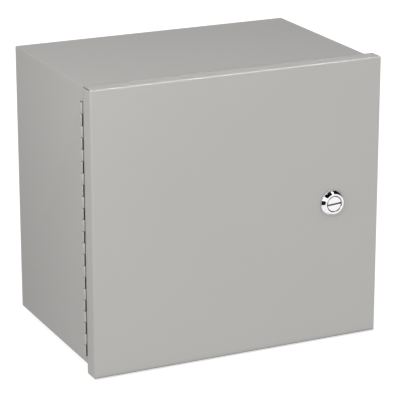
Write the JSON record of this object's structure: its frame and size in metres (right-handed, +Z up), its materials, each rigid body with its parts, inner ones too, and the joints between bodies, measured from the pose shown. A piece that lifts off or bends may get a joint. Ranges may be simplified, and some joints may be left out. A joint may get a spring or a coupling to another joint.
{
  "type": "automatic transfer switch",
  "caption": "Grey sheet-steel wall box with a flush hinged pan door and a quarter-turn latch, holding a solenoid-driven double-throw transfer switch.",
  "frame": {"origin": "centre of the box's back face, on the wall", "axes": "+Y into the wall, +Z up, +X to the right as seen from the front; the door faces -Y"},
  "size_m": [0.342, 0.221, 0.3156],
  "materials": {
    "grey_enamel": "satin powder coat",
    "dark_steel": "dark phosphate",
    "zinc": "zinc plated",
    "chrome": "polished",
    "white_enamel": "satin enamel",
    "brown_moulding": "satin",
    "copper": "bright copper",
    "aluminium": "tin plated",
    "ivory_moulding": "satin",
    "red_moulding": "gloss",
    "black_moulding": "satin",
    "green_moulding": "gloss",
    "amber_tape": "wound tape",
    "brass": "satin"
  },
  "bodies": {
    "enclosure": {"enclosure_body": "grey_enamel", "hinge_leaf_body": "dark_steel", "hinge_pin": "zinc", "side_plate_left": "zinc", "side_plate_right": "zinc", "utility_coil_frame": "zinc", "generator_coil_frame": "zinc", "back_panel": "white_enamel", "switch_base": "brown_moulding", "load_crossbar": "brown_moulding", "utility_contact_1": "copper", "utility_contact_2": "copper", "generator_contact_1": "copper", "generator_contact_2": "copper", "load_bar_1": "copper", "load_bar_2": "copper", "utility_lug_1": "aluminium", "utility_lug_2": "aluminium", "generator_lug_1": "aluminium", "generator_lug_2": "aluminium", "load_lug_1": "aluminium", "load_lug_2": "aluminium", "neutral_bar": "aluminium", "ground_bar": "aluminium", "arc_chute_utility": "ivory_moulding", "arc_chute_generator": "ivory_moulding", "controller_cover": "ivory_moulding", "control_relay": "ivory_moulding", "neutral_insulator": "ivory_moulding", "neutral_lead": "ivory_moulding", "generator_coil_lead": "red_moulding", "utility_limit_switch": "black_moulding", "generator_limit_switch": "black_moulding", "controller_housing": "black_moulding", "terminal_strip": "black_moulding", "relay_socket": "black_moulding", "utility_coil_lead": "black_moulding", "utility_coil": "amber_tape", "generator_coil": "amber_tape"},
    "door": {"door_pan": "grey_enamel", "hinge_leaf_door": "grey_enamel", "latch_bezel": "chrome", "latch_nut": "zinc"},
    "latch": {"latch_core": "chrome", "latch_cam": "zinc", "cam_screw": "zinc"},
    "transfer": {"transfer_shaft": "zinc", "contact_arm_1": "copper", "contact_arm_2": "copper", "drive_lever": "zinc", "manual_lever": "zinc", "handle_grip": "red_moulding", "switch_cam": "black_moulding"},
    "utility_core": {"utility_plunger": "zinc"},
    "generator_core": {"generator_plunger": "zinc"},
    "utility_follower": {"utility_switch_lever": "brass"},
    "generator_follower": {"generator_switch_lever": "brass"},
    "selector": {"mode_knob": "black_moulding"},
    "push_button": {"test_button": "green_moulding"}
  },
  "joints": [
    {"name": "door_hinge", "type": "hinge", "parent": "enclosure", "child": "door", "pos_m": [-0.1646, -0.193, -0.0038], "axis": [0, 0, -1], "range_deg": [0, 150]},
    {"name": "latch_turn", "type": "hinge", "parent": "door", "child": "latch", "pos_m": [0.1176, -0.215, -0.0054], "axis": [0, 1, 0], "range_deg": [0, 90]},
    {"name": "transfer_throw", "type": "hinge", "parent": "enclosure", "child": "transfer", "pos_m": [0, -0.09, 0.01], "axis": [-1, 0, 0], "range_deg": [0, 44]},
    {"name": "utility_core_slide", "type": "slide", "parent": "enclosure", "child": "utility_core", "axis": [0, 0, -1], "range_m": [0, 0.018]},
    {"name": "generator_core_slide", "type": "slide", "parent": "enclosure", "child": "generator_core", "axis": [0, 0, -1], "range_m": [0, 0.018]},
    {"name": "utility_lever_pivot", "type": "hinge", "parent": "enclosure", "child": "utility_follower", "pos_m": [-0.12315, -0.062, 0.0205], "axis": [1, 0, 0], "range_deg": [0, 11]},
    {"name": "generator_lever_pivot", "type": "hinge", "parent": "enclosure", "child": "generator_follower", "pos_m": [-0.12315, -0.062, -0.0005], "axis": [1, 0, 0], "range_deg": [0, 11]},
    {"name": "mode_knob_turn", "type": "hinge", "parent": "enclosure", "child": "selector", "pos_m": [0.112, -0.0726, 0.072], "axis": [0, 1, 0], "range_deg": [-45, 45]},
    {"name": "test_button_press", "type": "slide", "parent": "enclosure", "child": "push_button", "axis": [0, 1, 0], "range_m": [0, 0.003], "stiffness_N_per_m": 200}
  ],
  "couplings": [
    {"joint": "utility_core_slide", "follows": "transfer_throw", "m_per_rad": 0.023415},
    {"joint": "generator_core_slide", "follows": "transfer_throw", "m_per_rad": 0.023415},
    {"joint": "utility_lever_pivot", "follows": "transfer_throw", "ratio": 0.25},
    {"joint": "generator_lever_pivot", "follows": "transfer_throw", "ratio": 0.25}
  ]
}
